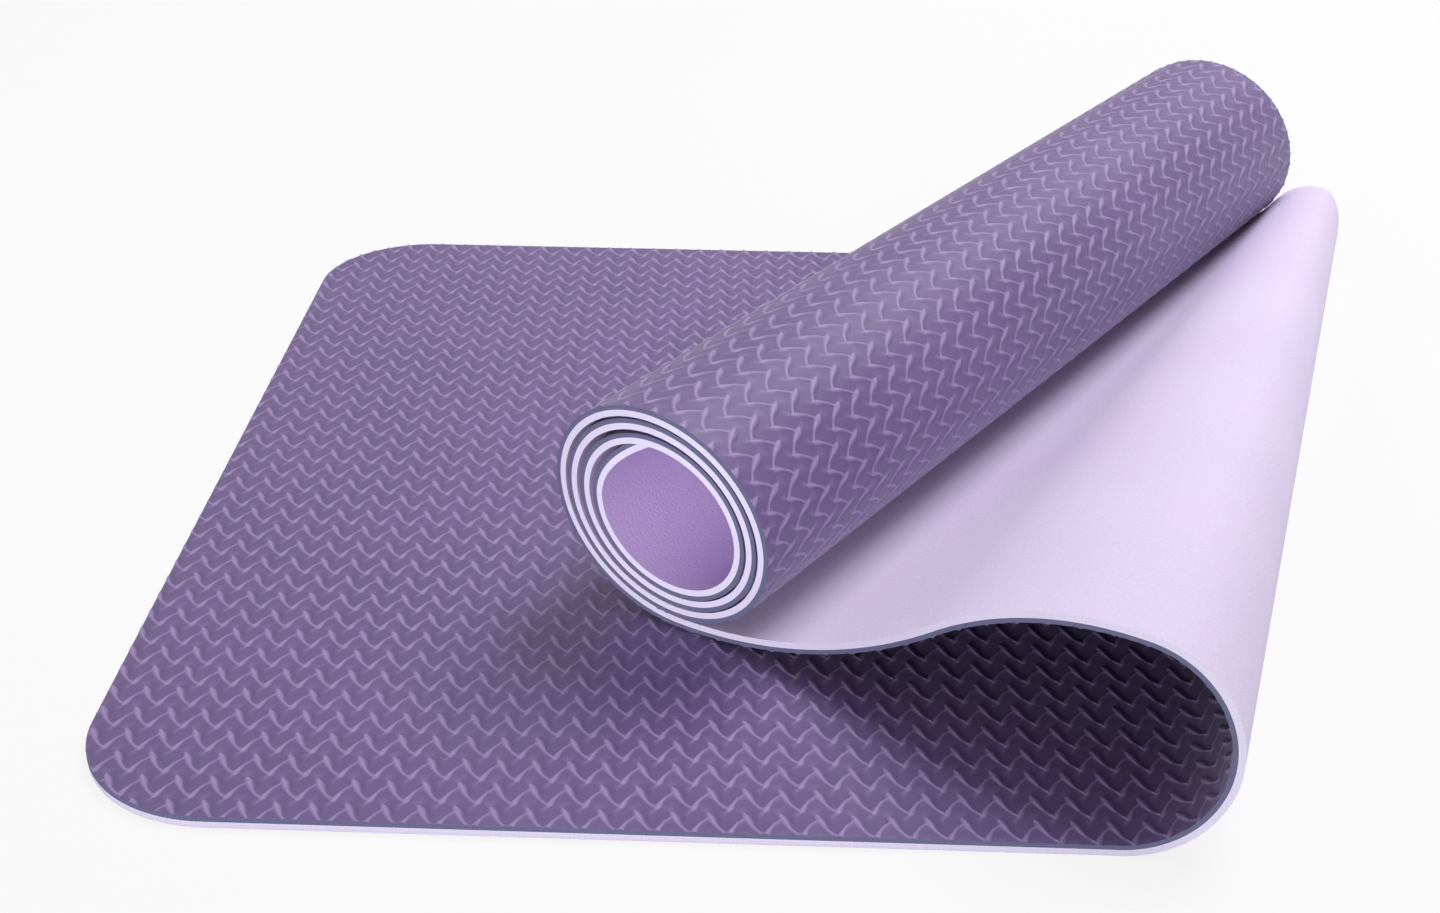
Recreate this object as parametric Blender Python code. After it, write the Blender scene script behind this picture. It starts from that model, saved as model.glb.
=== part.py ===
"""A yoga mat lying half unrolled.

One sheet of two bonded foam layers, a thin dark patterned one and a thicker lilac one. From its free
end at -X it lies flat, dark side up. It folds over itself along a skewed line, comes down onto its
own flat part, and its other end is wound into a roll that stands there, dark side out.

The sheet is drawn with lines that run across it, from the near long edge to the far one. Each line
holds the sheet's middle at both edges and the direction of the dark side there. A piece of a layer
is a flat grid, given its thickness, whose corners are then laid on those lines.
"""

import math

import bmesh
import bpy
import numpy as np

# The sheet, in metres
MAT_WIDTH = 0.610
TOP_LAYER = 0.0019
UNDER_LAYER = 0.0034
LAYER_GAP = 0.0003
CORNER_RADIUS = 0.064

# The flat part and the fold
FLAT_LENGTH_NEAR = 0.433
FOLD_SKEW = math.radians(16.2)
LOOP_BULGE_NEAR = 0.0427
LOOP_BULGE_FAR = 0.0120
LOOP_HEIGHT_NEAR = 0.0820
LOOP_HEIGHT_FAR = 0.0460
LOOP_DRIFT_NEAR = 0.0298
LOOP_DRIFT_FAR = 0.0160
LEAF_CREST_FAR = 0.033
LEAF_FOOT_NEAR = 0.225
ROLL_SIDE_GAP = 0.0010

# The roll
ROLL_RADIUS = 0.0590
WINDING_GAP = 0.0005
WINDING_SLACK = 0.0013
SLACK_SIDE = math.radians(140)
ROLL_TURNS = 3.55
ROLL_LEAN = math.radians(9.0)

# The roll's lilac layer is cut into this many lengths, so that each one's bore can be reached
ROLL_LENGTHS = 4

# Clearances between pieces
REST_GAP = 0.0003
SECTION_GAP = 0.0003

# The two lines where the fold opens, as angles round it from where the sheet leaves the floor
FOOT_HINGE = math.radians(40)
CREST_HINGE = math.radians(140)

# How finely the curves are drawn
CORNER_STEPS = 8
LOOP_STEP = math.radians(6.25)
LEAF_STEPS = 20
STEPS_PER_TURN = 40
STEPS_ACROSS_ROLL = 1
STEPS_ACROSS_FOLD = 6
SHARP_ANGLE = math.radians(40)

SHEET = TOP_LAYER + LAYER_GAP + UNDER_LAYER
LEAF_FOOT_FAR = ROLL_RADIUS + ROLL_SIDE_GAP
UP = np.array([0.0, 0.0, 1.0])


def plan(angle):
    """The level direction that lies at this angle from +Y towards +X."""
    return np.array([math.sin(angle), math.cos(angle), 0.0])


FOLD_WAY = plan(FOLD_SKEW)
FOLD_OUT = plan(FOLD_SKEW + math.pi / 2)
ROLL_WAY = plan(2 * FOLD_SKEW)
LEAF_WAY = plan(2 * FOLD_SKEW - math.pi / 2)


def line(near, far, near_dark, far_dark):
    return np.array([near, far, near_dark, far_dark])


def corner_inset(run):
    """How far the rounded corner lies inside the long edge, at this distance from the sheet's end."""
    return CORNER_RADIUS - math.sqrt(max(run * (2 * CORNER_RADIUS - run), 0.0))


def flat_lines():
    """The rounded free end. The next line after these is the start of the fold."""
    found = []
    for step in range(CORNER_STEPS + 1):
        turn = step / CORNER_STEPS * math.pi / 2
        run = CORNER_RADIUS * (1 - math.cos(turn))
        near = np.array([run, corner_inset(run), SHEET / 2])
        far = np.array([run, MAT_WIDTH - corner_inset(run), SHEET / 2])
        found.append(line(near, far, UP, UP))
    return found


def loop_point(start, bulge, height, drift, turn):
    """A point of the fold at this angle round it, and the direction of the dark side."""
    place = (
        start
        + FOLD_OUT * bulge * math.sin(turn)
        + UP * height / 2 * (1 - math.cos(turn))
        + FOLD_WAY * drift * turn / math.pi
    )
    dark = UP * bulge * math.cos(turn) - FOLD_OUT * height / 2 * math.sin(turn)
    return place, dark / np.linalg.norm(dark)


def leaf_fall(height):
    """How far the sheet comes down from the top of the fold to where it lies on its flat part."""
    return height - SHEET - REST_GAP


def leaf_length_far():
    """The length whose two arcs are the crest beside the fold and the foot that follows the roll."""
    fall = leaf_fall(LOOP_HEIGHT_FAR)
    return math.sqrt(2 * (LEAF_FOOT_FAR + LEAF_CREST_FAR) * fall - fall**2)


def place_fold():
    """Where the fold starts at each edge, and how long the leaf is there.

    The roll's axis is square to the leaf, so the far edge follows from the near one.
    """
    length_far = leaf_length_far()
    drift = (LOOP_DRIFT_FAR - LOOP_DRIFT_NEAR) * FOLD_WAY[1]
    length_near = length_far + MAT_WIDTH * math.tan(FOLD_SKEW) + drift / LEAF_WAY[1]
    near = np.array([FLAT_LENGTH_NEAR, 0.0, SHEET / 2])
    landing = near + FOLD_WAY * LOOP_DRIFT_NEAR + LEAF_WAY * length_near + ROLL_WAY * MAT_WIDTH
    far = landing - LEAF_WAY * length_far - FOLD_WAY * LOOP_DRIFT_FAR
    return near, far, length_near, length_far


FOLD_NEAR, FOLD_FAR, LEAF_NEAR, LEAF_FAR = place_fold()


def loop_line(turn):
    near, near_dark = loop_point(FOLD_NEAR, LOOP_BULGE_NEAR, LOOP_HEIGHT_NEAR, LOOP_DRIFT_NEAR, turn)
    far, far_dark = loop_point(FOLD_FAR, LOOP_BULGE_FAR, LOOP_HEIGHT_FAR, LOOP_DRIFT_FAR, turn)
    return line(near, far, near_dark, far_dark)


def loop_lines(first, last):
    count = max(1, round((last - first) / LOOP_STEP))
    return [loop_line(first + (last - first) * step / count) for step in range(count + 1)]


def leaf_edge(turned, length, fall, foot_radius, share):
    """A point of the leaf, and the direction of the dark side, which is now below.

    The edge comes down in two arcs, a crest that bends down and a foot that bends level again.
    """
    both = (length**2 + fall**2) / (2 * fall)
    whole_turn = math.asin(length / both)
    crest_radius = both - foot_radius
    turn = share * both * whole_turn / crest_radius
    if turn < whole_turn:
        run, drop = crest_radius * math.sin(turn), crest_radius * (1 - math.cos(turn))
    else:
        turn = (1 - share) * both * whole_turn / foot_radius
        run, drop = length - foot_radius * math.sin(turn), fall - foot_radius * (1 - math.cos(turn))
    place = turned + LEAF_WAY * run - UP * drop
    return place, -UP * math.cos(turn) - LEAF_WAY * math.sin(turn)


def leaf_lines():
    turned = loop_line(math.pi)
    found = []
    for step in range(1, LEAF_STEPS + 1):
        share = step / LEAF_STEPS
        near, near_dark = leaf_edge(
            turned[0], LEAF_NEAR, leaf_fall(LOOP_HEIGHT_NEAR), LEAF_FOOT_NEAR, share
        )
        far, far_dark = leaf_edge(
            turned[1], LEAF_FAR, leaf_fall(LOOP_HEIGHT_FAR), LEAF_FOOT_FAR, share
        )
        found.append(line(near, far, near_dark, far_dark))
    return found


def roll_radius(turn):
    """The winding's radius this far round it. The inner turns lie looser on one side."""
    turns = turn / (2 * math.pi)
    looseness_share = (1 + math.cos(turn - SLACK_SIDE)) / 2
    slack = WINDING_SLACK * looseness_share * max(turns - 1, 0.0)
    return ROLL_RADIUS - (SHEET + WINDING_GAP) * turns - slack


def roll_line(landing, turn, run_left):
    """A line of the wound part, this far round from the leaf, with this length of sheet left."""
    out = LEAF_WAY * math.sin(turn) - UP * math.cos(turn)
    middle = landing[0] + UP * ROLL_RADIUS + out * roll_radius(turn)
    lean = -ROLL_WAY * math.tan(ROLL_LEAN) * (middle - landing[0])[2]
    inset = corner_inset(run_left) if run_left < CORNER_RADIUS else 0.0
    near = middle + lean + ROLL_WAY * inset
    far = middle + lean + ROLL_WAY * (MAT_WIDTH - inset)
    return line(near, far, out, out)


def roll_lines(landing):
    last = 2 * math.pi * ROLL_TURNS
    count = round(STEPS_PER_TURN * ROLL_TURNS)
    turns = [last * step / count for step in range(count + 1)]
    found = []
    for turn in turns:
        mean = (roll_radius(turn) + roll_radius(last)) / 2
        found.append(roll_line(landing, turn, mean * (last - turn)))
    return found


def moved_towards(first, second, distance):
    """The first line with both its ends moved this far towards the second line's."""
    shifted = first.copy()
    for side in (0, 1):
        way = second[side] - first[side]
        shifted[side] += way / np.linalg.norm(way) * distance
    return shifted


def with_gaps(lines, before, after):
    """The lines with a half gap left free at the ends that meet another piece."""
    found = list(lines)
    if before:
        found[0] = moved_towards(lines[0], lines[1], SECTION_GAP / 2)
    if after:
        found[-1] = moved_towards(lines[-1], lines[-2], SECTION_GAP / 2)
    return found


def cut_lengths(lines):
    """The roll's lines cut square to its axis into lengths, with gaps between them."""
    table = np.array(lines)
    starts, ends = table[:, 0] @ ROLL_WAY, table[:, 1] @ ROLL_WAY
    across = (table[:, 1] - table[:, 0]) / (ends - starts)[:, None]
    cuts = np.linspace(starts.min(), ends.max(), ROLL_LENGTHS + 1)[1:-1]
    near_sides, far_sides = [table[:, 0]], []
    for cut in cuts:
        far_sides.append(table[:, 0] + across * (cut - SECTION_GAP / 2 - starts)[:, None])
        near_sides.append(table[:, 0] + across * (cut + SECTION_GAP / 2 - starts)[:, None])
    far_sides.append(table[:, 1])
    found = {}
    for number, (near, far) in enumerate(zip(near_sides, far_sides), start=1):
        found[f"_{number}"] = list(np.stack([near, far, table[:, 2], table[:, 3]], axis=1))
    return found


def sheet_sections():
    """Every section of the sheet, from the free end to the roll."""
    leaf = loop_lines(CREST_HINGE, math.pi) + leaf_lines()
    return {
        "flat": with_gaps(flat_lines() + [loop_line(0.0)], False, True),
        "fold_foot": with_gaps(loop_lines(0.0, FOOT_HINGE), True, True),
        "fold_middle": with_gaps(loop_lines(FOOT_HINGE, CREST_HINGE), True, True),
        "leaf": with_gaps(leaf, True, True),
        "roll": with_gaps(roll_lines(leaf[-1]), True, False),
    }


def least_gap_between_turns(lines):
    """The least distance between two passes of the winding, from the lilac side to the dark one."""
    lilac = surface(lines, -SHEET / 2)[:, 0]
    dark = surface(lines, SHEET / 2)[:, 0]
    distance = np.linalg.norm(lilac[:, None] - dark[None, :], axis=2)
    numbers = np.arange(len(lines))
    later = numbers[None, :] - numbers[:, None] > STEPS_PER_TURN / 2
    return distance[later].min()


def surface(lines, height):
    """The near and far points of the lines, this far towards the dark side from the middle."""
    table = np.array(lines)
    return table[:, :2] + table[:, 2:] * height


def place_origin(sections):
    """The middle of the mat's footprint, on the floor, in the frame that the lines use."""
    points = np.concatenate([surface(lines, side * SHEET / 2).reshape(-1, 3)
                             for lines in sections.values() for side in (-1, 1)])
    low, high = points.min(axis=0), points.max(axis=0)
    return np.array([(low[0] + high[0]) / 2, (low[1] + high[1]) / 2, 0.0])


def clear_scene():
    for old in list(bpy.data.objects):
        bpy.data.objects.remove(old, do_unlink=True)


def foam(name, colour, roughness):
    material = bpy.data.materials.new(name)
    material.use_nodes = True
    shader = material.node_tree.nodes["Principled BSDF"]
    shader.inputs["Base Color"].default_value = (*colour, 1.0)
    shader.inputs["Roughness"].default_value = roughness
    shader.inputs["Metallic"].default_value = 0.0
    return material


def joint_empty(name, place, parent, collection):
    """An empty at this place in the world, carried by the empty of the hinge before it."""
    empty = bpy.data.objects.new(name, None)
    empty.empty_display_size = CORNER_RADIUS
    empty.location = place
    if parent:
        empty.parent = parent
        empty.matrix_parent_inverse.translation = -parent.matrix_world.translation
    collection.objects.link(empty)
    bpy.context.view_layer.update()
    return empty


def slab(name, lines, across, low, high, start, carrier, material, collection):
    """One piece of one layer: a flat grid with thickness, laid on the lines between two heights.

    The grid reaches from -1 to 1 along the sheet and across it, and the thickness is 1.
    """
    steps = len(lines) - 1
    bm = bmesh.new()
    bmesh.ops.create_grid(bm, x_segments=steps, y_segments=across, size=1)
    raised = bmesh.ops.extrude_face_region(bm, geom=bm.faces[:])
    for item in raised["geom"]:
        if isinstance(item, bmesh.types.BMVert):
            item.co.z = 1
    levels = (surface(lines, low), surface(lines, high))
    for vert in bm.verts:
        near, far = levels[round(vert.co.z)][round((vert.co.x + 1) / 2 * steps)]
        vert.co = near + (far - near) * (vert.co.y + 1) / 2 - start
    bmesh.ops.recalc_face_normals(bm, faces=bm.faces[:])
    if bm.calc_volume(signed=True) < 0:
        bmesh.ops.reverse_faces(bm, faces=bm.faces[:])
    mesh = bpy.data.meshes.new(name)
    bm.to_mesh(mesh)
    bm.free()
    mesh.materials.append(material)
    mesh.shade_smooth()
    mesh.set_sharp_from_angle(angle=SHARP_ANGLE)
    piece = bpy.data.objects.new(name, mesh)
    piece.parent = carrier
    collection.objects.link(piece)


def hinge_place(turn, origin):
    """The middle of the line round which the fold opens there, on its outer, lilac face."""
    return surface([loop_line(turn)], -SHEET / 2)[0].mean(axis=0) - origin


def build():
    clear_scene()
    collection = bpy.data.collections.new("yoga_mat")
    bpy.context.scene.collection.children.link(collection)
    dark = foam("dark_foam", (0.165, 0.105, 0.260), 0.62)
    lilac = foam("lilac_foam", (0.640, 0.520, 0.830), 0.70)
    sections = sheet_sections()
    origin = place_origin(sections)
    hinges = {"fold_middle": FOOT_HINGE, "leaf": CREST_HINGE}
    layers = {
        "under_layer": (-SHEET / 2, -SHEET / 2 + UNDER_LAYER, lilac),
        "top_layer": (SHEET / 2 - TOP_LAYER, SHEET / 2, dark),
    }
    carrier = joint_empty("floor_part", (0.0, 0.0, 0.0), None, collection)
    for name, lines in sections.items():
        if name in hinges:
            place = hinge_place(hinges[name], origin)
            carrier = joint_empty(f"{name}_hinge", place, carrier, collection)
        start = origin + np.array(carrier.matrix_world.translation)
        across = STEPS_ACROSS_ROLL if name == "roll" else STEPS_ACROSS_FOLD
        for layer, (low, high, material) in layers.items():
            lengths = cut_lengths(lines) if (name, layer) == ("roll", "under_layer") else {"": lines}
            for ending, cut in lengths.items():
                full_name = f"{name}_{layer}{ending}"
                slab(full_name, cut, across, low, high, start, carrier, material, collection)
    gap = least_gap_between_turns(sections["roll"])
    print(f"least gap between two turns of the roll: {gap * 1000:.2f} mm")


build()
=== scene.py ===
"""The looks of a foam yoga mat that lies half unrolled.

The mat is one long sheet of two bonded layers. Every piece here is a stretch of one layer. It is
built on a flat plan of the sheet, distance along it and distance across it, and then laid on the
sheet's course: flat on the floor, over the open fold, down the leaf and round the roll. The dark
layer's raised zigzag ribs are one small mesh cell that repeats over the plan.

A row across the sheet has a mark: -1 at the free end, 0 where the fold starts, 1 where the leaf
starts, 2 where the roll starts, and 1 more for each turn of the roll. Lengths are in metres.
"""

import math

import bpy
import numpy as np
from mathutils import Matrix, Vector
from mathutils.geometry import delaunay_2d_cdt


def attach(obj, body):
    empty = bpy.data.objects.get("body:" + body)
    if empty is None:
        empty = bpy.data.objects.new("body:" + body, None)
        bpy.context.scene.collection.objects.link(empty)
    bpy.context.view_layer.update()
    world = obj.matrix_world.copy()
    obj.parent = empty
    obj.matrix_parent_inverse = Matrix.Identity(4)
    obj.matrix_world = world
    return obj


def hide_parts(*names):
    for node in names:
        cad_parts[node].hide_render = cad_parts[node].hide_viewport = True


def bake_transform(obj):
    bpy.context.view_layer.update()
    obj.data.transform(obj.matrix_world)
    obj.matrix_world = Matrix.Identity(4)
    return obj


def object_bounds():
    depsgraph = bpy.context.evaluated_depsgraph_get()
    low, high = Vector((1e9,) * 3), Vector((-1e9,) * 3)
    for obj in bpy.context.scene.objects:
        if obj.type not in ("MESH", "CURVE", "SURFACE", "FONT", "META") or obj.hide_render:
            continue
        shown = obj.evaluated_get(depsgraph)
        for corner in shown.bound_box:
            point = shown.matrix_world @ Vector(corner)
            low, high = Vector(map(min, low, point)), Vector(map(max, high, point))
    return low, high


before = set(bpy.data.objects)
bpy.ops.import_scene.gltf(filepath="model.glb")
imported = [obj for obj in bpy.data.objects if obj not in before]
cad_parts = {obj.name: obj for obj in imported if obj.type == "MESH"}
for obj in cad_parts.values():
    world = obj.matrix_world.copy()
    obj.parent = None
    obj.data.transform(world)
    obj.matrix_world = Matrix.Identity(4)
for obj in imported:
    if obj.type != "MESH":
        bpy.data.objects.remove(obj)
CAD_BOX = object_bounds()

FREE_END = -1.0
FOLD_START = 0.0
LEAF_START = 1.0
ROLL_START = 2.0

# The sheet, as the CAD model has it
MAT_WIDTH = 0.610
TOP_LAYER = 0.0019
UNDER_LAYER = 0.0034
LAYER_GAP = 0.0003
SHEET = TOP_LAYER + LAYER_GAP + UNDER_LAYER
CORNER_RADIUS = 0.064
FLAT_LENGTH_NEAR = 0.433
FOLD_SKEW = math.radians(16.2)
LOOP_BULGE_NEAR = 0.0427
LOOP_BULGE_FAR = 0.0120
LOOP_HEIGHT_NEAR = 0.0820
LOOP_HEIGHT_FAR = 0.0460
LOOP_DRIFT_NEAR = 0.0298
LOOP_DRIFT_FAR = 0.0160
LEAF_CREST_FAR = 0.033
LEAF_FOOT_NEAR = 0.225
ROLL_SIDE_GAP = 0.0010
ROLL_RADIUS = 0.0590
WINDING_GAP = 0.0005
WINDING_SLACK = 0.0013
SLACK_SIDE = math.radians(140)
ROLL_TURNS = 3.55
ROLL_LEAN = math.radians(9.0)
REST_GAP = 0.0003
FOOT_HINGE = math.radians(40)
CREST_HINGE = math.radians(140)
LEAF_FOOT_FAR = ROLL_RADIUS + ROLL_SIDE_GAP

# Heights in the sheet's thickness, from its middle towards the dark side
DARK_FACE = SHEET / 2
LILAC_FACE = -SHEET / 2
LILAC_SHOWN = 0.0030
BOND = LILAC_FACE + LILAC_SHOWN

# Where the sheet bends when the fold opens, and where its ribs end, as marks
FOOT_BEND = (-0.05, 0.5)
CREST_BEND = (0.5, 1.15)
RIBBED_TURN_END = 3.04
ROLL_LENGTHS = 4

# The ribs. A cell holds two strokes: one falls from a peak, the other rises from a valley.
RIB_PERIOD = 0.0148
RIB_ROW = 0.01615
RIB_ROW_CLIMB = 0.010
RIB_COLUMN_LEAN = -0.032
RIB_START = (0.1060, 0.0884)
RIB_HALF_WIDTH = 0.00185
RIB_HEIGHT = 0.00065
RIB_FULLNESS = 1.7
RIB_GROUND_DEPTH = 0.00045
RIB_GROUND = DARK_FACE - RIB_GROUND_DEPTH
RIB_SHOULDER = 0.52
THINNEST_STROKE = 0.0001
# Each station: along as a share of the period, across as a share of the row, width as a share
FALLING_SHARES = (
    (-0.140, 0.290, 0.10),
    (-0.095, 0.200, 0.72),
    (-0.045, 0.095, 1.00),
    (0.010, -0.020, 1.00),
    (0.062, -0.145, 0.82),
    (0.130, -0.275, 0.58),
    (0.218, -0.394, 0.50),
    (0.321, -0.502, 0.50),
    (0.430, -0.590, 0.52),
)
VALLEY_SHARE = (0.490, -0.625)
RISING_SHARES = (
    (-0.060, -0.100, 0.15),
    (-0.030, -0.050, 0.60),
    (0.010, 0.015, 0.88),
    (0.048, 0.128, 0.86),
    (0.092, 0.225, 0.66),
    (0.126, 0.282, 0.52),
    (0.169, 0.365, 0.48),
    (0.253, 0.489, 0.46),
    (0.355, 0.582, 0.44),
    (0.450, 0.625, 0.42),
)
# A shallow hollow beside each peak, inside the bend that its falling stroke starts. The dent is
# drawn, and its darker colour is painted shade
HOLLOW_HALF_WIDTH = 0.0016
HOLLOW_DEPTH = 0.00020
HOLLOW_SHARES = (
    (0.110, 0.190, 0.30),
    (0.155, 0.060, 0.95),
    (0.205, -0.075, 1.00),
    (0.275, -0.200, 0.40),
)

# How finely the sheet is drawn. Its course has COURSE_ROWS rows for each row that is drawn.
CORNER_STEPS = 24
ROWS_FLAT = 12
ROWS_LOOP = 144
ROWS_LEAF = 80
ROWS_PER_TURN = 120
COURSE_ROWS = 4
STEPS_ACROSS = 24
INNER_STEP = 0.004
NORMAL_STEP = 0.0004
MARK_STEP = 0.01
LEAST_MARK_STEP = 1e-4

# Colours
DARK_GROUND = (0.125, 0.068, 0.232)
DARK_GROUND_DEEP = (0.102, 0.052, 0.200)
# Painted shade in the hollows beside the peaks
HOLLOW_PAINTED_SHADE = (0.083, 0.039, 0.165)
# The ribs' own paler colour with painted sheen, strongest on the knots
THIN_RIB_AND_SHEEN = (0.235, 0.155, 0.365)
KNOT_AND_SHEEN = (0.345, 0.250, 0.490)
SLATE_EDGE = (0.145, 0.145, 0.255)
LILAC = (0.850, 0.745, 0.970)
LILAC_SHADE = (0.820, 0.710, 0.955)
# The inner turns' lilac: the same foam as the outer turn, in a deeper, more violet painted shade
# for the light inside the roll
INNER_LILAC_PAINTED_SHADE = (0.840, 0.645, 1.000)
INNER_LILAC_PAINTED_SHADE_DARK_TONE = (0.810, 0.615, 0.990)
LILAC_EDGE = (0.780, 0.730, 0.950)
EDGE_PALER = 1.15
BLACK = (0.0, 0.0, 0.0)
WHITE = (1.0, 1.0, 1.0)
DARK_GRAIN_PIT = (0.86, 0.86, 0.86)
LILAC_GRAIN_PIT = (0.93, 0.92, 0.94)

# Sizes of the noises on the foam, as repeats in a metre, and the parts of their range that are used
DARK_CLOUDS = 9.0
LILAC_CLOUDS = 7.0
CLOUD_ENDS = (0.35, 0.65)
DARK_GRAIN = 1500.0
LILAC_GRAIN = 650.0
CUT_GRAIN = 1800.0
GRAIN_ENDS = (0.3, 0.7)
# Shares of the rib's height over which its sides and then its top turn paler, in the ribs' own
# paler colour with painted sheen
RIB_SIDE_ENDS = (0.02, 0.30)
RIB_TOP_ENDS = (0.45, 0.90)

# The stage
FLOOR_SIZE = 12.0
FLOOR_GREY = (0.80, 0.80, 0.80, 1.0)
FLOOR_WHITE_SHARE = 0.84
SKY = (0.93, 0.90, 1.00, 1.0)
AMBIENT = 0.30
BACKDROP = (0.88, 0.88, 0.88, 1.0)

# The camera, fitted to the photograph, which is 1440 by 913 pixels
CAMERA_PLACE = (-0.0256, -1.0206, 0.5377)
CAMERA_PITCH = math.radians(28.126)
CAMERA_YAW = math.radians(-2.196)
CAMERA_ROLL = math.radians(0.379)
CAMERA_LENS = 52.5
CAMERA_SENSOR = 36.0

UP = np.array([0.0, 0.0, 1.0])


def plan(angle):
    """The level direction that lies at this angle from +Y towards +X."""
    return np.array([math.sin(angle), math.cos(angle), 0.0])


FOLD_WAY = plan(FOLD_SKEW)
FOLD_OUT = plan(FOLD_SKEW + math.pi / 2)
ROLL_WAY = plan(2 * FOLD_SKEW)
LEAF_WAY = plan(2 * FOLD_SKEW - math.pi / 2)
ORIGIN = -np.array([CAD_BOX[0].x, CAD_BOX[0].y, 0.0])


def loop_edge(start, bulge, height, drift, turn):
    """Points of one edge of the fold at these angles round it, and the dark side's way there."""
    turn = np.asarray(turn, float)[:, None]
    place = (
        start
        + FOLD_OUT * bulge * np.sin(turn)
        + UP * height / 2 * (1 - np.cos(turn))
        + FOLD_WAY * drift * turn / math.pi
    )
    dark = UP * bulge * np.cos(turn) - FOLD_OUT * height / 2 * np.sin(turn)
    return place, dark / np.linalg.norm(dark, axis=1, keepdims=True)


def leaf_fall(height):
    return height - SHEET - REST_GAP


def place_fold():
    """Where the fold starts at each edge, and how long the leaf is there."""
    fall = leaf_fall(LOOP_HEIGHT_FAR)
    length_far = math.sqrt(2 * (LEAF_FOOT_FAR + LEAF_CREST_FAR) * fall - fall**2)
    drift = (LOOP_DRIFT_FAR - LOOP_DRIFT_NEAR) * FOLD_WAY[1]
    length_near = length_far + MAT_WIDTH * math.tan(FOLD_SKEW) + drift / LEAF_WAY[1]
    near = np.array([FLAT_LENGTH_NEAR, 0.0, SHEET / 2])
    landing = near + FOLD_WAY * LOOP_DRIFT_NEAR + LEAF_WAY * length_near + ROLL_WAY * MAT_WIDTH
    far = landing - LEAF_WAY * length_far - FOLD_WAY * LOOP_DRIFT_FAR
    return near, far, length_near, length_far


def leaf_edge(turned, length, fall, foot_radius, share):
    """Points of one edge of the leaf and the dark side's way there.

    A crest arc comes first and then a foot arc, and share runs over both.
    """
    both = (length**2 + fall**2) / (2 * fall)
    whole_turn = math.asin(length / both)
    crest_radius = both - foot_radius
    share = np.asarray(share, float)
    turn = share * both * whole_turn / crest_radius
    back = (1 - share) * both * whole_turn / foot_radius
    crest = turn < whole_turn
    run = np.where(crest, crest_radius * np.sin(turn), length - foot_radius * np.sin(back))
    foot_rise = foot_radius * (1 - np.cos(back))
    drop = np.where(crest, crest_radius * (1 - np.cos(turn)), fall - foot_rise)
    turn = np.where(crest, turn, back)[:, None]
    place = turned + LEAF_WAY * run[:, None] - UP * drop[:, None]
    return place, -UP * np.cos(turn) - LEAF_WAY * np.sin(turn)


def roll_radius(turn):
    turns = turn / (2 * math.pi)
    looseness_share = (1 + np.cos(turn - SLACK_SIDE)) / 2
    slack = WINDING_SLACK * looseness_share * np.maximum(turns - 1, 0.0)
    return ROLL_RADIUS - (SHEET + WINDING_GAP) * turns - slack


def roll_edges(landing, turn):
    """Both edges of the wound part, these far round it."""
    turn = np.asarray(turn, float)
    out = LEAF_WAY * np.sin(turn)[:, None] - UP * np.cos(turn)[:, None]
    middle = landing + UP * ROLL_RADIUS + out * roll_radius(turn)[:, None]
    lean = -ROLL_WAY * math.tan(ROLL_LEAN) * (middle - landing)[:, 2:]
    return middle + lean, middle + lean + ROLL_WAY * MAT_WIDTH, out


def sheet_course():
    """The sheet as rows across it: their marks, both ends of each and the dark side's way there."""
    fold_near, fold_far, leaf_near, leaf_far = place_fold()
    start = np.array([[0.0, 0.0, SHEET / 2], [0.0, MAT_WIDTH, SHEET / 2]])
    marks, near, far = [[FREE_END]], [start[:1]], [start[1:]]
    near_dark, far_dark = [UP[None]], [UP[None]]
    turn = np.linspace(0, math.pi, COURSE_ROWS * ROWS_LOOP + 1)
    loop_near = loop_edge(fold_near, LOOP_BULGE_NEAR, LOOP_HEIGHT_NEAR, LOOP_DRIFT_NEAR, turn)
    loop_far = loop_edge(fold_far, LOOP_BULGE_FAR, LOOP_HEIGHT_FAR, LOOP_DRIFT_FAR, turn)
    share = np.linspace(0, 1, COURSE_ROWS * ROWS_LEAF + 1)[1:]
    fall_near, fall_far = leaf_fall(LOOP_HEIGHT_NEAR), leaf_fall(LOOP_HEIGHT_FAR)
    down_near = leaf_edge(loop_near[0][-1], leaf_near, fall_near, LEAF_FOOT_NEAR, share)
    down_far = leaf_edge(loop_far[0][-1], leaf_far, fall_far, LEAF_FOOT_FAR, share)
    roll_rows = round(COURSE_ROWS * ROWS_PER_TURN * ROLL_TURNS)
    wound = np.linspace(0, 2 * math.pi * ROLL_TURNS, roll_rows + 1)[1:]
    roll_near, roll_far, out = roll_edges(down_near[0][-1], wound)
    marks += [turn / math.pi, LEAF_START + share, ROLL_START + wound / (2 * math.pi)]
    near += [loop_near[0], down_near[0], roll_near]
    far += [loop_far[0], down_far[0], roll_far]
    near_dark += [loop_near[1], down_near[1], out]
    far_dark += [loop_far[1], down_far[1], out]
    course = {
        "mark": np.concatenate(marks),
        "near": np.concatenate(near) - ORIGIN,
        "far": np.concatenate(far) - ORIGIN,
        "near_dark": np.concatenate(near_dark),
        "far_dark": np.concatenate(far_dark),
    }
    for side in ("near", "far"):
        steps = np.linalg.norm(np.diff(course[side], axis=0), axis=1)
        course[side + "_reach"] = np.concatenate([[0.0], np.cumsum(steps)])
    return course


COURSE = sheet_course()


def reach_at(mark):
    """How far along the sheet this mark's row is, at the near edge and at the far one."""
    marks = COURSE["mark"]
    return tuple(np.interp(mark, marks, COURSE[side + "_reach"]) for side in ("near", "far"))


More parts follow.
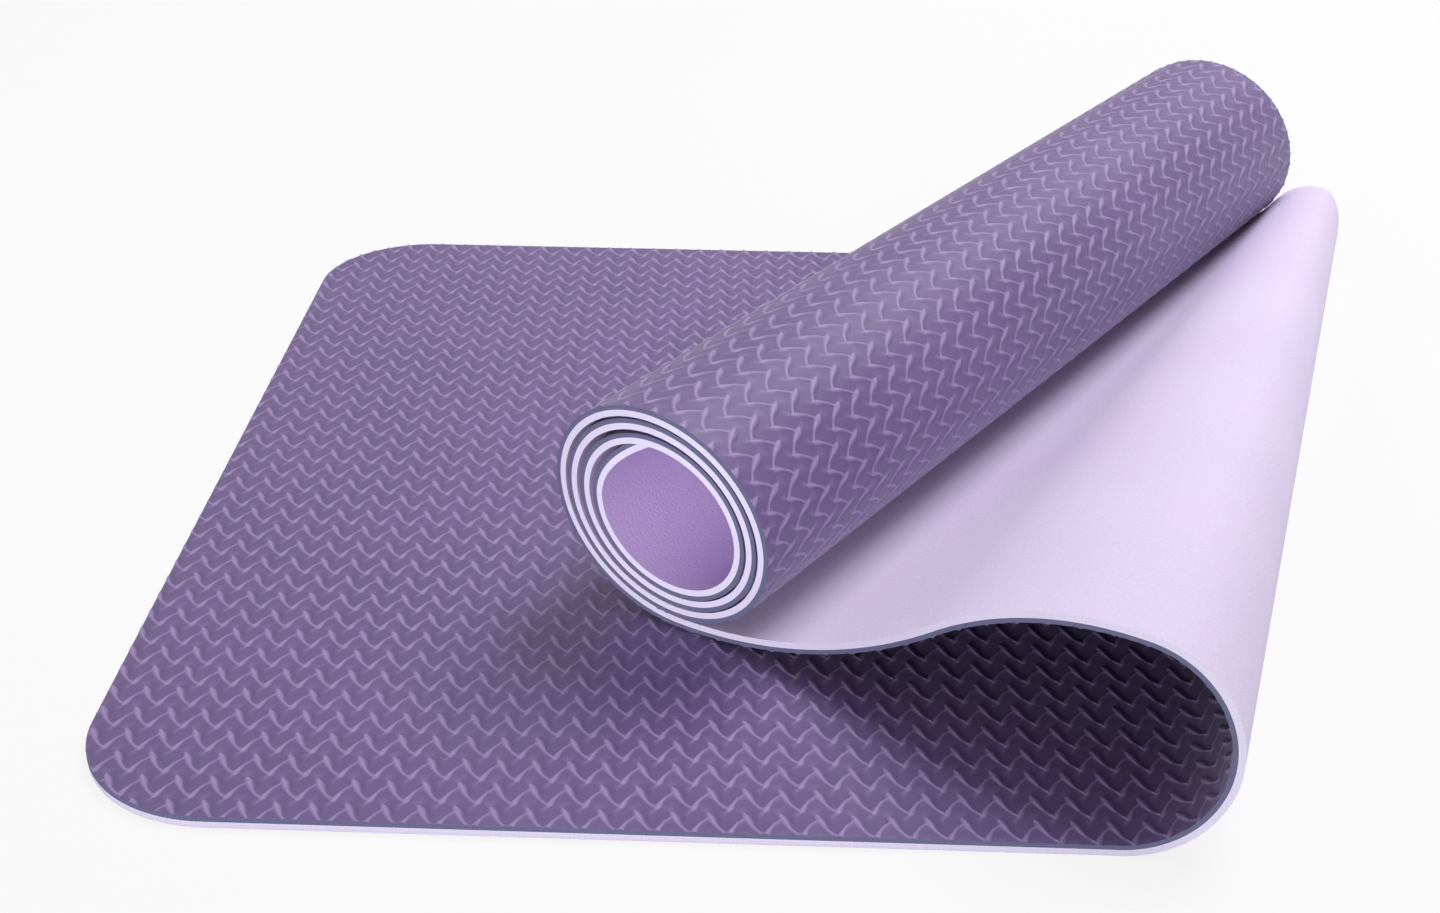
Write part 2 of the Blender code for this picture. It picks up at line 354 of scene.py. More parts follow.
def lay(along, across, height):
    """Places of points of the plan, this far from the sheet's middle towards the dark side."""
    share = across / MAT_WIDTH
    near_reach, far_reach = COURSE["near_reach"], COURSE["far_reach"]
    low = np.zeros(len(along), int)
    high = np.full(len(along), len(near_reach) - 1)
    while (high - low).max() > 1:
        middle = (low + high) // 2
        behind = (1 - share) * near_reach[middle] + share * far_reach[middle] <= along
        low, high = np.where(behind, middle, low), np.where(behind, high, middle)
    first = (1 - share) * near_reach[low] + share * far_reach[low]
    second = (1 - share) * near_reach[low + 1] + share * far_reach[low + 1]
    step = np.clip((along - first) / (second - first), 0, 1)[:, None]
    edges = []
    for side in ("near", "far"):
        places, darks = COURSE[side], COURSE[side + "_dark"]
        place = places[low] * (1 - step) + places[low + 1] * step
        dark = darks[low] * (1 - step) + darks[low + 1] * step
        edges.append(place + dark * np.asarray(height)[:, None])
    return edges[0] * (1 - share[:, None]) + edges[1] * share[:, None]


def lay_normals(along, across, height, slopes):
    """Normals of a face laid on the course, with its slopes along and across the plan."""
    step = NORMAL_STEP
    along_way = lay(along + step, across, height) - lay(along - step, across, height)
    across_way = lay(along, across + step, height) - lay(along, across - step, height)
    along_way /= np.linalg.norm(along_way, axis=1, keepdims=True)
    across_way /= np.linalg.norm(across_way, axis=1, keepdims=True)
    outward = np.cross(along_way, across_way)
    normals = outward - along_way * slopes[:, :1] - across_way * slopes[:, 1:]
    return normals / np.linalg.norm(normals, axis=1, keepdims=True)


def corner_inset(run):
    """How far a rounded corner lies inside the long edge, this far from the sheet's end."""
    run = np.minimum(run, CORNER_RADIUS)
    return CORNER_RADIUS - np.sqrt(np.maximum(run * (2 * CORNER_RADIUS - run), 0.0))


# The rib cell

CELL = np.array([[RIB_PERIOD, RIB_PERIOD * RIB_ROW_CLIMB], [RIB_ROW * RIB_COLUMN_LEAN, RIB_ROW]])
CELL_NET_TOLERANCE = 1e-6
CELL_EDGE_SLACK = 1e-5
CELL_POINT_SLACK = 1e-4
FACE_TOLERANCE = 1e-9


def plan_stroke(start, stations, half_width, height, fullness):
    """A stroke's places on the plan, and its half widths and heights at its stations."""
    table = np.array(stations)
    places = (table[:, :2] + start) @ CELL
    heights = height * np.minimum(table[:, 2] * fullness, 1.0)
    return places, np.maximum(table[:, 2] * half_width, THINNEST_STROKE), heights


def cell_strokes():
    """A cell's two ribs and its hollow."""
    ribs = [
        plan_stroke((0.0, 0.0), FALLING_SHARES, RIB_HALF_WIDTH, RIB_HEIGHT, RIB_FULLNESS),
        plan_stroke(VALLEY_SHARE, RISING_SHARES, RIB_HALF_WIDTH, RIB_HEIGHT, RIB_FULLNESS),
    ]
    hollows = [plan_stroke((0.0, 0.0), HOLLOW_SHARES, HOLLOW_HALF_WIDTH, HOLLOW_DEPTH, 1.0)]
    return ribs, hollows


def ridge_height(points, strokes):
    """Heights at these points of the plan of a rounded ridge along each stroke."""
    found = np.zeros(len(points))
    for places, widths, heights in strokes:
        for number in range(len(places) - 1):
            begin, way = places[number], places[number + 1] - places[number]
            share = np.clip((points - begin) @ way / (way @ way), 0, 1)
            distance = np.linalg.norm(points - begin - share[:, None] * way, axis=1)
            width = widths[number] + share * (widths[number + 1] - widths[number])
            height = heights[number] + share * (heights[number + 1] - heights[number])
            ridge = height * (1 + np.cos(math.pi * np.minimum(distance / width, 1.0))) / 2
            found = np.maximum(found, ridge)
    return found


def cell_slopes(points, heights, numbers, whole):
    """The cell's rises along and across the plan at its points, from the triangles round each."""
    places = (points[numbers] + whole) @ CELL
    first, second = places[:, 1] - places[:, 0], places[:, 2] - places[:, 0]
    level = heights[numbers]
    first_rise, second_rise = level[:, 1] - level[:, 0], level[:, 2] - level[:, 0]
    area = first[:, 0] * second[:, 1] - first[:, 1] * second[:, 0]
    rise_along = first_rise * second[:, 1] - second_rise * first[:, 1]
    rise_across = second_rise * first[:, 0] - first_rise * second[:, 0]
    total = np.zeros((len(points), 3))
    for corner in range(3):
        np.add.at(total, numbers[:, corner], np.column_stack([rise_along, rise_across, area]))
    return total[:, :2] / total[:, 2:]


def stroke_points(strokes):
    """Points on the strokes' middle lines, sides and shoulders, and the numbers of each line's."""
    points = []
    lines = []
    for places, widths, _ in strokes:
        ways = np.gradient(places, axis=0)
        sides = np.stack([-ways[:, 1], ways[:, 0]], axis=1)
        sides /= np.linalg.norm(ways, axis=1, keepdims=True)
        lines.append(np.arange(len(places)) + len(points))
        points.extend(places)
        for place, side, width in list(zip(places, sides, widths))[1:]:
            shares = (-1.0, 1.0)
            if width > RIB_HALF_WIDTH / 2:
                shares = (-1.0, -RIB_SHOULDER, RIB_SHOULDER, 1.0)
            points.extend(place + side * width * share for share in shares)
    return np.array(points), lines


def cell_net(strokes):
    """Joins up the strokes' points in a cell and its neighbours. Returns places and triangles."""
    base, lines = stroke_points(strokes)
    points, edges = [], []
    for i in range(-2, 3):
        for j in range(-2, 3):
            for line in lines:
                numbers = (line + len(points)).tolist()
                edges.extend(zip(numbers[:-1], numbers[1:]))
            points.extend(base + np.array([i, j]) @ CELL)
    scale = 1 / RIB_PERIOD
    flat = [Vector((float(x) * scale, float(y) * scale)) for x, y in points]
    found, _, faces, _, _, _ = delaunay_2d_cdt(flat, edges, [], 0, CELL_NET_TOLERANCE)
    return np.array([[v.x, v.y] for v in found]) / scale, np.array(faces)


def rib_cell():
    """One cell of the dark face. Returns its points, their heights and slopes, and its triangles.

    The triangles whose middles lie in the cell are kept. A triangle's corner is a point's number
    and the cell that the point is in.
    """
    ribs, hollows = cell_strokes()
    places, corners = cell_net(ribs + hollows)
    cells = places @ np.linalg.inv(CELL)
    middles = cells[corners].mean(axis=1)
    kept = corners[(np.floor(middles) == 0).all(axis=1)]
    whole = np.floor(cells + CELL_EDGE_SLACK).astype(int)
    keys = np.round((cells - whole) / CELL_POINT_SLACK).astype(int)
    used = np.unique(kept)
    _, first, number = np.unique(keys[used], axis=0, return_index=True, return_inverse=True)
    numbers = np.zeros(len(places), int)
    numbers[used] = number.ravel()
    cell_points = (cells[used] - whole[used])[first]
    neighbours = [np.array([i, j]) for i in (-1, 0, 1) for j in (-1, 0, 1)]
    spread = np.concatenate([cell_points @ CELL + cell @ CELL for cell in neighbours])
    raised = ridge_height(spread, ribs).reshape(len(neighbours), -1).max(axis=0)
    sunk = ridge_height(spread, hollows).reshape(len(neighbours), -1).max(axis=0)
    heights = np.where(raised > 0, raised, -sunk)
    slopes = cell_slopes(cell_points, heights, numbers[kept], whole[kept])
    return cell_points, np.column_stack([heights, slopes]), numbers[kept], whole[kept]


RIB_CELL = rib_cell()


def ribbed_plan(low, high):
    """The ribbed face over this part of the plan, a little past it.

    A point holds its place along and across, the rib's height there and its two slopes.
    """
    cell_points, heights, numbers, whole = RIB_CELL
    box = np.array([[x, y] for x in (low[0], high[0]) for y in (low[1], high[1])]) - RIB_START
    cells = box @ np.linalg.inv(CELL)
    first = np.floor(cells.min(axis=0)).astype(int) - 2
    last = np.ceil(cells.max(axis=0)).astype(int) + 2
    i, j = np.meshgrid(np.arange(first[0], last[0]), np.arange(first[1], last[1]), indexing="ij")
    i, j = i.ravel()[:, None, None], j.ravel()[:, None, None]
    wide = last[0] - first[0] + 4
    at_i = (i + whole[None, :, :, 0] - first[0] + 2)
    at_j = (j + whole[None, :, :, 1] - first[1] + 2)
    keys = (numbers[None] + len(cell_points) * (at_i + wide * at_j)).reshape(-1, 3)
    used, triangles = np.unique(keys, return_inverse=True)
    number = used % len(cell_points)
    cell = used // len(cell_points)
    corner = np.stack([cell % wide + first[0] - 2, cell // wide + first[1] - 2], axis=1)
    places = (cell_points[number] + corner) @ CELL + RIB_START
    return np.column_stack([places, heights[number]]), triangles.reshape(-1, 3)


def clip(points, triangles, side):
    """Keeps what lies where side, a sum of along, across and a constant, isn't below zero."""
    value = points[:, 0] * side[0] + points[:, 1] * side[1] + side[2]
    inside = value >= 0
    count = inside[triangles].sum(axis=1)
    found = [triangles[count == 3]]
    crossing = [triangles[count == 1], triangles[count == 2]]
    turned = []
    for group, odd_inside in zip(crossing, (True, False)):
        odd = np.argmax(inside[group] == odd_inside, axis=1)
        turned.append(np.take_along_axis(group, (odd[:, None] + np.arange(3)) % 3, axis=1))
    both = np.concatenate(turned)
    pairs = np.sort(np.concatenate([both[:, [0, 1]], both[:, [0, 2]]]), axis=1)
    edges, number = np.unique(pairs, axis=0, return_inverse=True)
    number = number.ravel() + len(points)
    begin, end = edges[:, 0], edges[:, 1]
    share = (value[begin] / (value[begin] - value[end]))[:, None]
    added = points[begin] + share * (points[end] - points[begin])
    first, second = number[: len(both)], number[len(both):]
    lone = len(turned[0])
    found.append(np.column_stack([turned[0][:, 0], first[:lone], second[:lone]]))
    found.append(np.column_stack([first[lone:], turned[1][:, 1], turned[1][:, 2]]))
    found.append(np.column_stack([first[lone:], turned[1][:, 2], second[lone:]]))
    points = np.concatenate([points, added])
    used, triangles = np.unique(np.concatenate(found), return_inverse=True)
    return points[used], triangles.reshape(-1, 3)


def seam_sides(first_mark, last_mark):
    """The sides of a stretch of the plan: both long edges and the two rows that end it."""
    sides = [(0.0, 1.0, 0.0), (0.0, -1.0, MAT_WIDTH)]
    for mark, sign in ((first_mark, 1.0), (last_mark, -1.0)):
        near, far = reach_at(mark)
        sides.append((sign, -sign * (far - near) / MAT_WIDTH, -sign * near))
    return sides


def corner_sides():
    """The sides of the free end's two rounded corners."""
    sides = []
    for centre, way in ((CORNER_RADIUS, 1.0), (MAT_WIDTH - CORNER_RADIUS, -1.0)):
        for step in range(CORNER_STEPS):
            turn = (step + 0.5) / CORNER_STEPS * math.pi / 2
            reach = CORNER_RADIUS * math.cos(math.pi / 4 / CORNER_STEPS)
            normal = np.array([math.cos(turn), way * math.sin(turn)])
            sides.append((*normal, reach - normal @ (CORNER_RADIUS, centre)))
    return sides


def outline_edges(triangles, count):
    """The edges that only one triangle has, in that triangle's direction."""
    edges = np.concatenate([triangles[:, [0, 1]], triangles[:, [1, 2]], triangles[:, [2, 0]]])
    forward = edges[:, 0] * count + edges[:, 1]
    backward = edges[:, 1] * count + edges[:, 0]
    return edges[~np.isin(forward, backward)]


def back_face(points, edges, inner):
    """Triangles that fill the outline, on its own points and these inner ones."""
    used, loop = np.unique(edges, return_inverse=True)
    flat = np.concatenate([points[used, :2], inner])
    scale = 1 / MAT_WIDTH
    vectors = [Vector((float(p[0]) * scale, float(p[1]) * scale)) for p in flat]
    pairs = [tuple(pair) for pair in loop.reshape(-1, 2).tolist()]
    _, _, faces, origins, _, _ = delaunay_2d_cdt(vectors, pairs, [], 1, FACE_TOLERANCE)
    number = np.array([origin[0] for origin in origins])
    return used, number[np.array(faces)]


def make_piece(name, points, normals, triangles, plan_values, materials, slots, flat):
    """A mesh object from arrays, with the plan and the rib height kept on its points.

    Its flat faces keep their own normals, and the others take the points' normals.
    """
    mesh = bpy.data.meshes.new(name)
    mesh.vertices.add(len(points))
    mesh.vertices.foreach_set("co", points.astype(np.float32).ravel())
    mesh.loops.add(triangles.size)
    mesh.loops.foreach_set("vertex_index", triangles.astype(np.int32).ravel())
    mesh.polygons.add(len(triangles))
    mesh.polygons.foreach_set("loop_start", np.arange(0, triangles.size, 3, dtype=np.int32))
    for material in materials:
        mesh.materials.append(material)
    mesh.polygons.foreach_set("material_index", slots.astype(np.int32))
    mesh.update(calc_edges=True)
    mesh.shade_smooth()
    flag = mesh.attributes.new("sharp_face", "BOOLEAN", "FACE")
    flag.data.foreach_set("value", flat)
    place = mesh.attributes.new("plan", "FLOAT_VECTOR", "POINT")
    place.data.foreach_set("vector", plan_values.astype(np.float32).ravel())
    corner_normals = normals[triangles]
    corner_normals[flat] = 0.0
    mesh.normals_split_custom_set(corner_normals.reshape(-1, 3).tolist())
    piece = bpy.data.objects.new(name, mesh)
    bpy.context.scene.collection.objects.link(piece)
    return piece


def ribbed_piece(name, first_mark, last_mark, materials, rounded=False):
    """A stretch of the dark layer with its ribs, as a closed body down to the bond."""
    low, high = min(reach_at(first_mark)), max(reach_at(last_mark))
    points, triangles = ribbed_plan((low, 0.0), (high, MAT_WIDTH))
    sides = seam_sides(first_mark, last_mark) + (corner_sides() if rounded else [])
    for side in sides:
        points, triangles = clip(points, triangles, side)
    edges = outline_edges(triangles, len(points))
    inner = inner_points(first_mark, last_mark, sides)
    used, back = back_face(points, edges, inner)
    heights = RIB_GROUND + points[:, 2]
    top = lay(points[:, 0], points[:, 1], heights)
    normals = lay_normals(points[:, 0], points[:, 1], heights, points[:, 3:])
    flat = np.concatenate([points[used, :2], inner])
    bottom = lay(flat[:, 0], flat[:, 1], np.full(len(flat), BOND))
    normals = np.concatenate([normals, np.zeros((len(flat), 3))])
    below = np.zeros(len(points), int)
    below[used] = np.arange(len(used)) + len(points)
    begin, end = edges[:, 0], edges[:, 1]
    walls = np.concatenate([np.column_stack([end, begin, below[begin]]),
                            np.column_stack([end, below[begin], below[end]])])
    back = back[:, ::-1] + len(points)
    plans = np.concatenate([points[:, :3], np.column_stack([flat, np.zeros(len(flat))])])
    groups = (triangles, walls, back)
    slots = np.concatenate([np.full(len(group), slot) for slot, group in zip((0, 1, 1), groups)])
    return make_piece(name, np.concatenate([top, bottom]), normals, np.concatenate(groups), plans,
                      materials, slots, slots == 1)


def inner_points(first_mark, last_mark, sides):
    """Points inside a stretch of the plan, close enough for its curves, clear of its outline."""
    if last_mark <= FOLD_START:
        return np.zeros((0, 2))
    near, far = reach_at(max(first_mark, FOLD_START)), reach_at(last_mark)
    along = np.arange(min(near), max(far), INNER_STEP)
    across = np.linspace(0, MAT_WIDTH, STEPS_ACROSS + 1)[1:-1]
    grid = np.array([[x, y] for x in along for y in across])
    for side in sides:
        grid = grid[grid[:, 0] * side[0] + grid[:, 1] * side[1] + side[2] > INNER_STEP / 2]
    return grid


def smooth_piece(name, marks, low, high, materials, shown_face):
    """A stretch of a smooth layer, as a closed slab between two heights."""
    near_reach, far_reach = reach_at(marks)
    share = np.linspace(0, 1, STEPS_ACROSS + 1)
    start_run = np.minimum(near_reach, far_reach)
    ends = reach_at(COURSE["mark"][-1])
    end_run = np.minimum(ends[0] - near_reach, ends[1] - far_reach)
    inset = np.maximum(corner_inset(start_run), corner_inset(end_run))
    across = inset[:, None] + (MAT_WIDTH - 2 * inset[:, None]) * share
    edge_share = across / MAT_WIDTH
    along = near_reach[:, None] * (1 - edge_share) + far_reach[:, None] * edge_share
    rows, columns = along.shape
    count = rows * columns
    points, normals, plans = [], [], []
    for height, sign in ((low, -1), (high, 1)):
        at = (along.ravel(), across.ravel(), np.full(count, height))
        points.append(lay(*at))
        normals.append(sign * lay_normals(*at, np.zeros((count, 2))))
        plans.append(np.column_stack([along.ravel(), across.ravel(), np.zeros(count)]))
    numbers = np.arange(count).reshape(rows, columns)
    ring = (numbers[:-1, :-1], numbers[1:, :-1], numbers[1:, 1:], numbers[:-1, 1:])
    quads = np.stack(ring, axis=-1).reshape(-1, 4)
    loops = [numbers[:, 0][::-1], numbers[0, :], numbers[:, -1], numbers[-1, :][::-1]]
    walls = []
    for loop in loops:
        walls.append(np.column_stack([loop[1:], loop[:-1], loop[:-1] + count, loop[1:] + count]))
    groups = (quads[:, ::-1], quads + count, np.concatenate(walls))
    quads = np.concatenate(groups)
    kinds = np.concatenate([np.full(len(group), kind) for kind, group in enumerate(groups)])
    triangles = np.concatenate([quads[:, [0, 1, 2]], quads[:, [0, 2, 3]]])
    kinds = np.concatenate([kinds, kinds])
    slots = (kinds != shown_face).astype(int)
    return make_piece(name, np.concatenate(points), np.concatenate(normals), triangles,
                      np.concatenate(plans), materials, slots, kinds == 2)


# Materials

def node(tree, kind, **values):
    made = tree.nodes.new(kind)
    for key, value in values.items():
        setattr(made, key, value)
    return made


def plan_texture(tree, scale, detail):
    """A noise that sticks to the sheet: its coordinates are the plan's."""
    place = node(tree, "ShaderNodeAttribute", attribute_name="plan")
    noise = node(tree, "ShaderNodeTexNoise")
    noise.inputs["Scale"].default_value = scale
    noise.inputs["Detail"].default_value = detail
    tree.links.new(place.outputs["Vector"], noise.inputs["Vector"])
    return noise.outputs["Fac"]


def ramp(tree, factor, ends, colours):
    """Turns a factor into colours: the first up to one end, the second from the other."""
    made = node(tree, "ShaderNodeValToRGB")
    for element, position, colour in zip(made.color_ramp.elements, ends, colours):
        element.position = position
        element.color = (*colour, 1.0)
    tree.links.new(factor, made.inputs["Fac"])
    return made.outputs["Color"]


def mix(tree, factor, first, second, blend="MIX"):
    """Mixes two colours, each of them a socket or a value, as is the factor."""
    made = node(tree, "ShaderNodeMix", data_type="RGBA", blend_type=blend)
    factor_socket, first_socket, second_socket = made.inputs[0], made.inputs[6], made.inputs[7]
    for socket, value in ((factor_socket, factor), (first_socket, first), (second_socket, second)):
        if isinstance(value, bpy.types.NodeSocket):
            tree.links.new(value, socket)
        elif socket == factor_socket:
            socket.default_value = value
        else:
            socket.default_value = (*value, 1.0)
    return made.outputs[2]


def bump(tree, height, strength, distance):
    made = node(tree, "ShaderNodeBump")
    made.inputs["Strength"].default_value = strength
    made.inputs["Distance"].default_value = distance
    tree.links.new(height, made.inputs["Height"])
    return made.outputs["Normal"]


def above_ground(tree, height, full):
    """The share of a full height, or of a depth below zero, that a height has reached."""
    share = node(tree, "ShaderNodeMapRange")
    share.inputs["From Max"].default_value = full
    tree.links.new(height, share.inputs["Value"])
    return share.outputs["Result"]


def new_material(name, roughness, specular, sheen):
    material = bpy.data.materials.new(name)
    material.use_nodes = True
    shader = material.node_tree.nodes["Principled BSDF"]
    shader.inputs["Roughness"].default_value = roughness
    shader.inputs["Specular IOR Level"].default_value = specular
    shader.inputs["Sheen Weight"].default_value = sheen
    return material, material.node_tree, shader


def foam_surface(tree, shader, colour, grain, pit, strength, depth):
    """Gives the shader a colour, darker in the grain's pits, and the grain as bumps."""
    shade = ramp(tree, grain, GRAIN_ENDS, (pit, WHITE))
    tree.links.new(mix(tree, 1.0, colour, shade, "MULTIPLY"), shader.inputs["Base Color"])
    tree.links.new(bump(tree, grain, strength, depth), shader.inputs["Normal"])


def dark_foam():
    """Dark violet foam, lighter on its ribs in their own colour with painted sheen, with painted
    shade in its hollows and a fine grain.
    """
    name = "dark_foam_ribbed"
    material, tree, shader = new_material(name, roughness=0.58, specular=0.7, sheen=0.2)
    place = node(tree, "ShaderNodeAttribute", attribute_name="plan")
    split = node(tree, "ShaderNodeSeparateXYZ")
    tree.links.new(place.outputs["Vector"], split.inputs["Vector"])
    level = above_ground(tree, split.outputs["Z"], RIB_HEIGHT)
    sunk = above_ground(tree, split.outputs["Z"], -HOLLOW_DEPTH)
    clouds = plan_texture(tree, DARK_CLOUDS, detail=4.0)
    ground = ramp(tree, clouds, CLOUD_ENDS, (DARK_GROUND_DEEP, DARK_GROUND))
    # Painted shade: the ground turns darker with a hollow's depth
    ground = mix(tree, sunk, ground, HOLLOW_PAINTED_SHADE)
    # The ribs' sides and then their tops turn paler: their own colour with painted sheen
    side = ramp(tree, level, RIB_SIDE_ENDS, (BLACK, WHITE))
    top = ramp(tree, level, RIB_TOP_ENDS, (BLACK, WHITE))
    colour = mix(tree, top, mix(tree, side, ground, THIN_RIB_AND_SHEEN), KNOT_AND_SHEEN)
    grain = plan_texture(tree, DARK_GRAIN, detail=2.0)
    foam_surface(tree, shader, colour, grain, DARK_GRAIN_PIT, strength=0.25, depth=0.0003)
    return material


def lilac_foam(name, shades):
    """Lilac foam, smooth, with a fine grain, between two shades."""
    material, tree, shader = new_material(name, roughness=0.66, specular=0.3, sheen=0.1)
    colour = ramp(tree, plan_texture(tree, LILAC_CLOUDS, detail=3.0), CLOUD_ENDS, shades)
    grain = plan_texture(tree, LILAC_GRAIN, detail=3.0)
    foam_surface(tree, shader, colour, grain, LILAC_GRAIN_PIT, strength=0.4, depth=0.0006)
    return material


def cut_edge(name, colour):
    """The cut side of a foam layer: the same foam with its cells open, a little rougher."""
    material, tree, shader = new_material(name, roughness=0.8, specular=0.2, sheen=0.0)
    grain = plan_texture(tree, CUT_GRAIN, detail=2.0)
    paler = tuple(min(1.0, value * EDGE_PALER) for value in colour)
    shade = ramp(tree, grain, GRAIN_ENDS, (colour, paler))
    tree.links.new(shade, shader.inputs["Base Color"])
    tree.links.new(bump(tree, grain, strength=0.3, distance=0.0003), shader.inputs["Normal"])
    return material


# The mat

def stretch_marks(first, last):
    """Marks of the rows of a smooth stretch, close together where the sheet bends."""
    found = [first, last]
    corner = CORNER_RADIUS * (1 - np.cos(np.linspace(0, math.pi / 2, CORNER_STEPS + 1)))
    start = np.interp(corner, COURSE["near_reach"], COURSE["mark"])
    start = np.concatenate([start, np.interp(corner, COURSE["far_reach"], COURSE["mark"])])
    length = COURSE["near_reach"][-1]
    end = np.interp(length - corner, COURSE["near_reach"], COURSE["mark"])
    flat = np.linspace(FREE_END, FOLD_START, ROWS_FLAT + 1)
    loop = np.linspace(FOLD_START, LEAF_START, ROWS_LOOP + 1)
    leaf = np.linspace(LEAF_START, ROLL_START, ROWS_LEAF + 1)
    turns = ROLL_START + np.arange(0, ROLL_TURNS, 1 / ROWS_PER_TURN)
    marks = np.concatenate([start, flat, loop, leaf, turns, end])
    inside = (marks > first + LEAST_MARK_STEP) & (marks < last - LEAST_MARK_STEP)
    found.extend(marks[inside])
    return np.unique(np.round(found, 9))


def dress_mat():
    last = COURSE["mark"][-1]
    dark = (dark_foam(), cut_edge("dark_foam_cut", SLATE_EDGE))
    lilac_cut = cut_edge("lilac_foam_cut", LILAC_EDGE)
    lilac = (lilac_foam("lilac_foam_smooth", (LILAC_SHADE, LILAC)), lilac_cut)
    # The inner turns get a painted shade: the same lilac foam, deeper and more violet
    lilac_with_painted_shade = (lilac_foam("lilac_foam_inner_painted_shade", (INNER_LILAC_PAINTED_SHADE_DARK_TONE, INNER_LILAC_PAINTED_SHADE)), lilac_cut)
    stretches = (
        ("flat", "flat", FREE_END, FOOT_BEND[0], lilac),
        ("fold_foot", "fold_foot", *FOOT_BEND, lilac),
        ("fold_crest", "fold_middle", *CREST_BEND, lilac),
        ("leaf", "leaf", CREST_BEND[1], ROLL_START, lilac),
        ("roll_outer_turn", "roll", ROLL_START, RIBBED_TURN_END, lilac),
        ("roll_inner_turns", "roll", RIBBED_TURN_END, last, lilac_with_painted_shade),
    )
    pieces = {}
    for name, part, first, end, pale in stretches:
        marks = stretch_marks(first, end)
        if first < RIBBED_TURN_END:
            top = ribbed_piece(f"{name}_dark_foam", first, end, dark, rounded=name == "flat")
        else:
            top = smooth_piece(f"{name}_dark_foam", marks, BOND, RIB_GROUND, dark, 1)
        under = smooth_piece(f"{name}_lilac_foam", marks, LILAC_FACE, BOND, pale, 0)
        lengths = [""]
        if part == "roll":
            lengths = [f"_{number}" for number in range(1, ROLL_LENGTHS + 1)]
        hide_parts(f"{part}_top_layer")
        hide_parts(*[f"{part}_under_layer{length}" for length in lengths])
        pieces[name] = (top, under)
    for piece in pieces["flat"]:
        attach(piece, "root")
    for name in ("leaf", "roll_outer_turn", "roll_inner_turns"):
        for piece in pieces[name]:
            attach(piece, "leaf")
    bend(pieces["fold_foot"], FOOT_HINGE)
    bend(pieces["fold_crest"], CREST_HINGE)


def row_ends(mark):
    """The near and far end of a mark's row, on the lilac face."""
    along = np.array(reach_at(mark))
    return lay(along, np.array([0.0, MAT_WIDTH]), np.full(2, LILAC_FACE))


def bend(pieces, hinge):
    """Bakes the pieces' transforms into their meshes. It works out the hinge's axis and the sheet's
    way across it, which nothing uses.
    """
    mark = hinge / math.pi
    ends = row_ends(mark)
    axis = (ends[1] - ends[0]) / np.linalg.norm(ends[1] - ends[0])
    way = row_ends(mark + MARK_STEP).mean(axis=0) - row_ends(mark - MARK_STEP).mean(axis=0)
    way -= axis * (way @ axis)
    way /= np.linalg.norm(way)
    for piece in pieces:
        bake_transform(piece)


# The camera, the stage and the lights

def set_camera():
    flat_share = math.cos(CAMERA_PITCH)
    forward = Vector((
        math.sin(CAMERA_YAW) * flat_share,
        math.cos(CAMERA_YAW) * flat_share,
        -math.sin(CAMERA_PITCH),
    ))
    level = Vector((math.cos(CAMERA_YAW), -math.sin(CAMERA_YAW), 0.0))
    upright = level.cross(forward)
    right = level * math.cos(CAMERA_ROLL) + upright * math.sin(CAMERA_ROLL)
    above = upright * math.cos(CAMERA_ROLL) - level * math.sin(CAMERA_ROLL)
    camera = bpy.data.cameras.new("camera")
    camera.sensor_width = CAMERA_SENSOR
    camera.lens = CAMERA_LENS
    holder = bpy.data.objects.new("camera", camera)
    turned = Matrix((right, above, -forward)).transposed().to_4x4()
    holder.matrix_world = Matrix.Translation(CAMERA_PLACE) @ turned
    bpy.context.scene.collection.objects.link(holder)
    bpy.context.scene.camera = holder


def shows_background(tree):
    """1 for camera, glossy and transmission rays, 0 for the rays that light the mat."""
    rays = node(tree, "ShaderNodeLightPath")
    total = rays.outputs["Is Camera Ray"]
    for name in ("Is Glossy Ray", "Is Transmission Ray"):
        added = node(tree, "ShaderNodeMath", operation="MAXIMUM")
        tree.links.new(total, added.inputs[0])
        tree.links.new(rays.outputs[name], added.inputs[1])
        total = added.outputs[0]
    return total


def set_floor():
    bpy.ops.mesh.primitive_plane_add(size=FLOOR_SIZE, location=(0, 0, 0))
    floor = bpy.context.object
    floor.name = "floor"
    material = bpy.data.materials.new("floor_white")
    material.use_nodes = True
    tree = material.node_tree
    tree.nodes.clear()
    output = node(tree, "ShaderNodeOutputMaterial")
    matte = node(tree, "ShaderNodeBsdfDiffuse")
    matte.inputs["Color"].default_value = FLOOR_GREY
    white = node(tree, "ShaderNodeEmission")
    share = node(tree, "ShaderNodeMath", operation="MULTIPLY")
    share.inputs[1].default_value = FLOOR_WHITE_SHARE
    both = node(tree, "ShaderNodeMixShader")
    tree.links.new(shows_background(tree), share.inputs[0])
    tree.links.new(share.outputs[0], both.inputs["Fac"])
    tree.links.new(matte.outputs[0], both.inputs[1])
    tree.links.new(white.outputs[0], both.inputs[2])
    tree.links.new(both.outputs[0], output.inputs["Surface"])
    floor.data.materials.append(material)


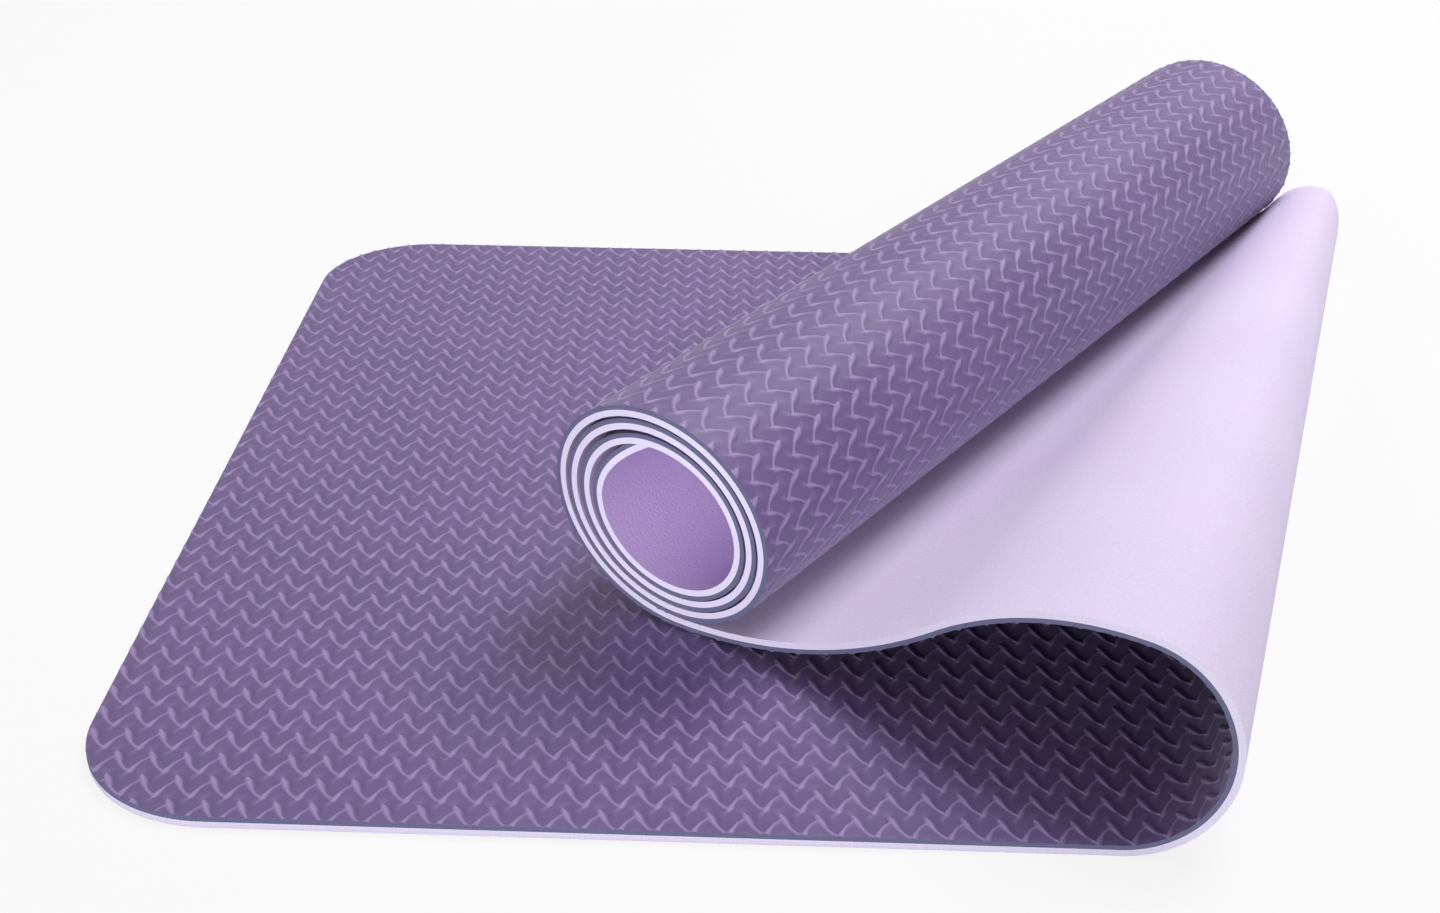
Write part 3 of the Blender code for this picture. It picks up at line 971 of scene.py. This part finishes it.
def set_world():
    world = bpy.data.worlds.new("studio")
    bpy.context.scene.world = world
    world.use_nodes = True
    tree = world.node_tree
    tree.nodes.clear()
    output = node(tree, "ShaderNodeOutputWorld")
    soft = node(tree, "ShaderNodeBackground")
    soft.inputs["Color"].default_value = SKY
    soft.inputs["Strength"].default_value = AMBIENT
    white = node(tree, "ShaderNodeBackground")
    white.inputs["Color"].default_value = BACKDROP
    both = node(tree, "ShaderNodeMixShader")
    tree.links.new(shows_background(tree), both.inputs["Fac"])
    tree.links.new(soft.outputs[0], both.inputs[1])
    tree.links.new(white.outputs[0], both.inputs[2])
    tree.links.new(both.outputs[0], output.inputs["Surface"])


def aim(name, lamp, place, target):
    holder = bpy.data.objects.new(name, lamp)
    holder.location = place
    holder.rotation_mode = "QUATERNION"
    holder.rotation_quaternion = (Vector(target) - Vector(place)).to_track_quat("-Z", "Y")
    bpy.context.scene.collection.objects.link(holder)


def soft_light(name, place, target, size, power):
    lamp = bpy.data.lights.new(name, "AREA")
    lamp.shape = "SQUARE"
    lamp.size = size
    lamp.energy = power
    aim(name, lamp, place, target)


def spot_light(name, place, target, cone, radius, power):
    lamp = bpy.data.lights.new(name, "SPOT")
    lamp.spot_size = math.radians(cone)
    lamp.spot_blend = 1.0
    lamp.shadow_soft_size = radius
    lamp.energy = power
    aim(name, lamp, place, target)


def set_lights():
    """Two soft lights from above, a low one on the cut edges and a narrow one into the roll."""
    middle = (0.0, 0.0, 0.0)
    soft_light("left_light", (-1.9, 0.9, 1.9), middle, size=1.2, power=6.0)
    soft_light("key_light", (0.88, 0.80, 2.20), middle, size=1.5, power=49.0)
    edges = (0.0, -0.05, 0.06)
    spot_light("edge_light", (-1.5, -4.4, 0.50), edges, cone=20.0, radius=0.3, power=360.0)
    bore = (-0.078, -0.200, 0.059)
    spot_light("bore_light", (-0.22, -1.44, 0.46), bore, cone=6.0, radius=0.06, power=34.0)


dress_mat()
set_camera()
set_floor()
set_world()
set_lights()
bpy.context.scene.view_settings.view_transform = "Standard"
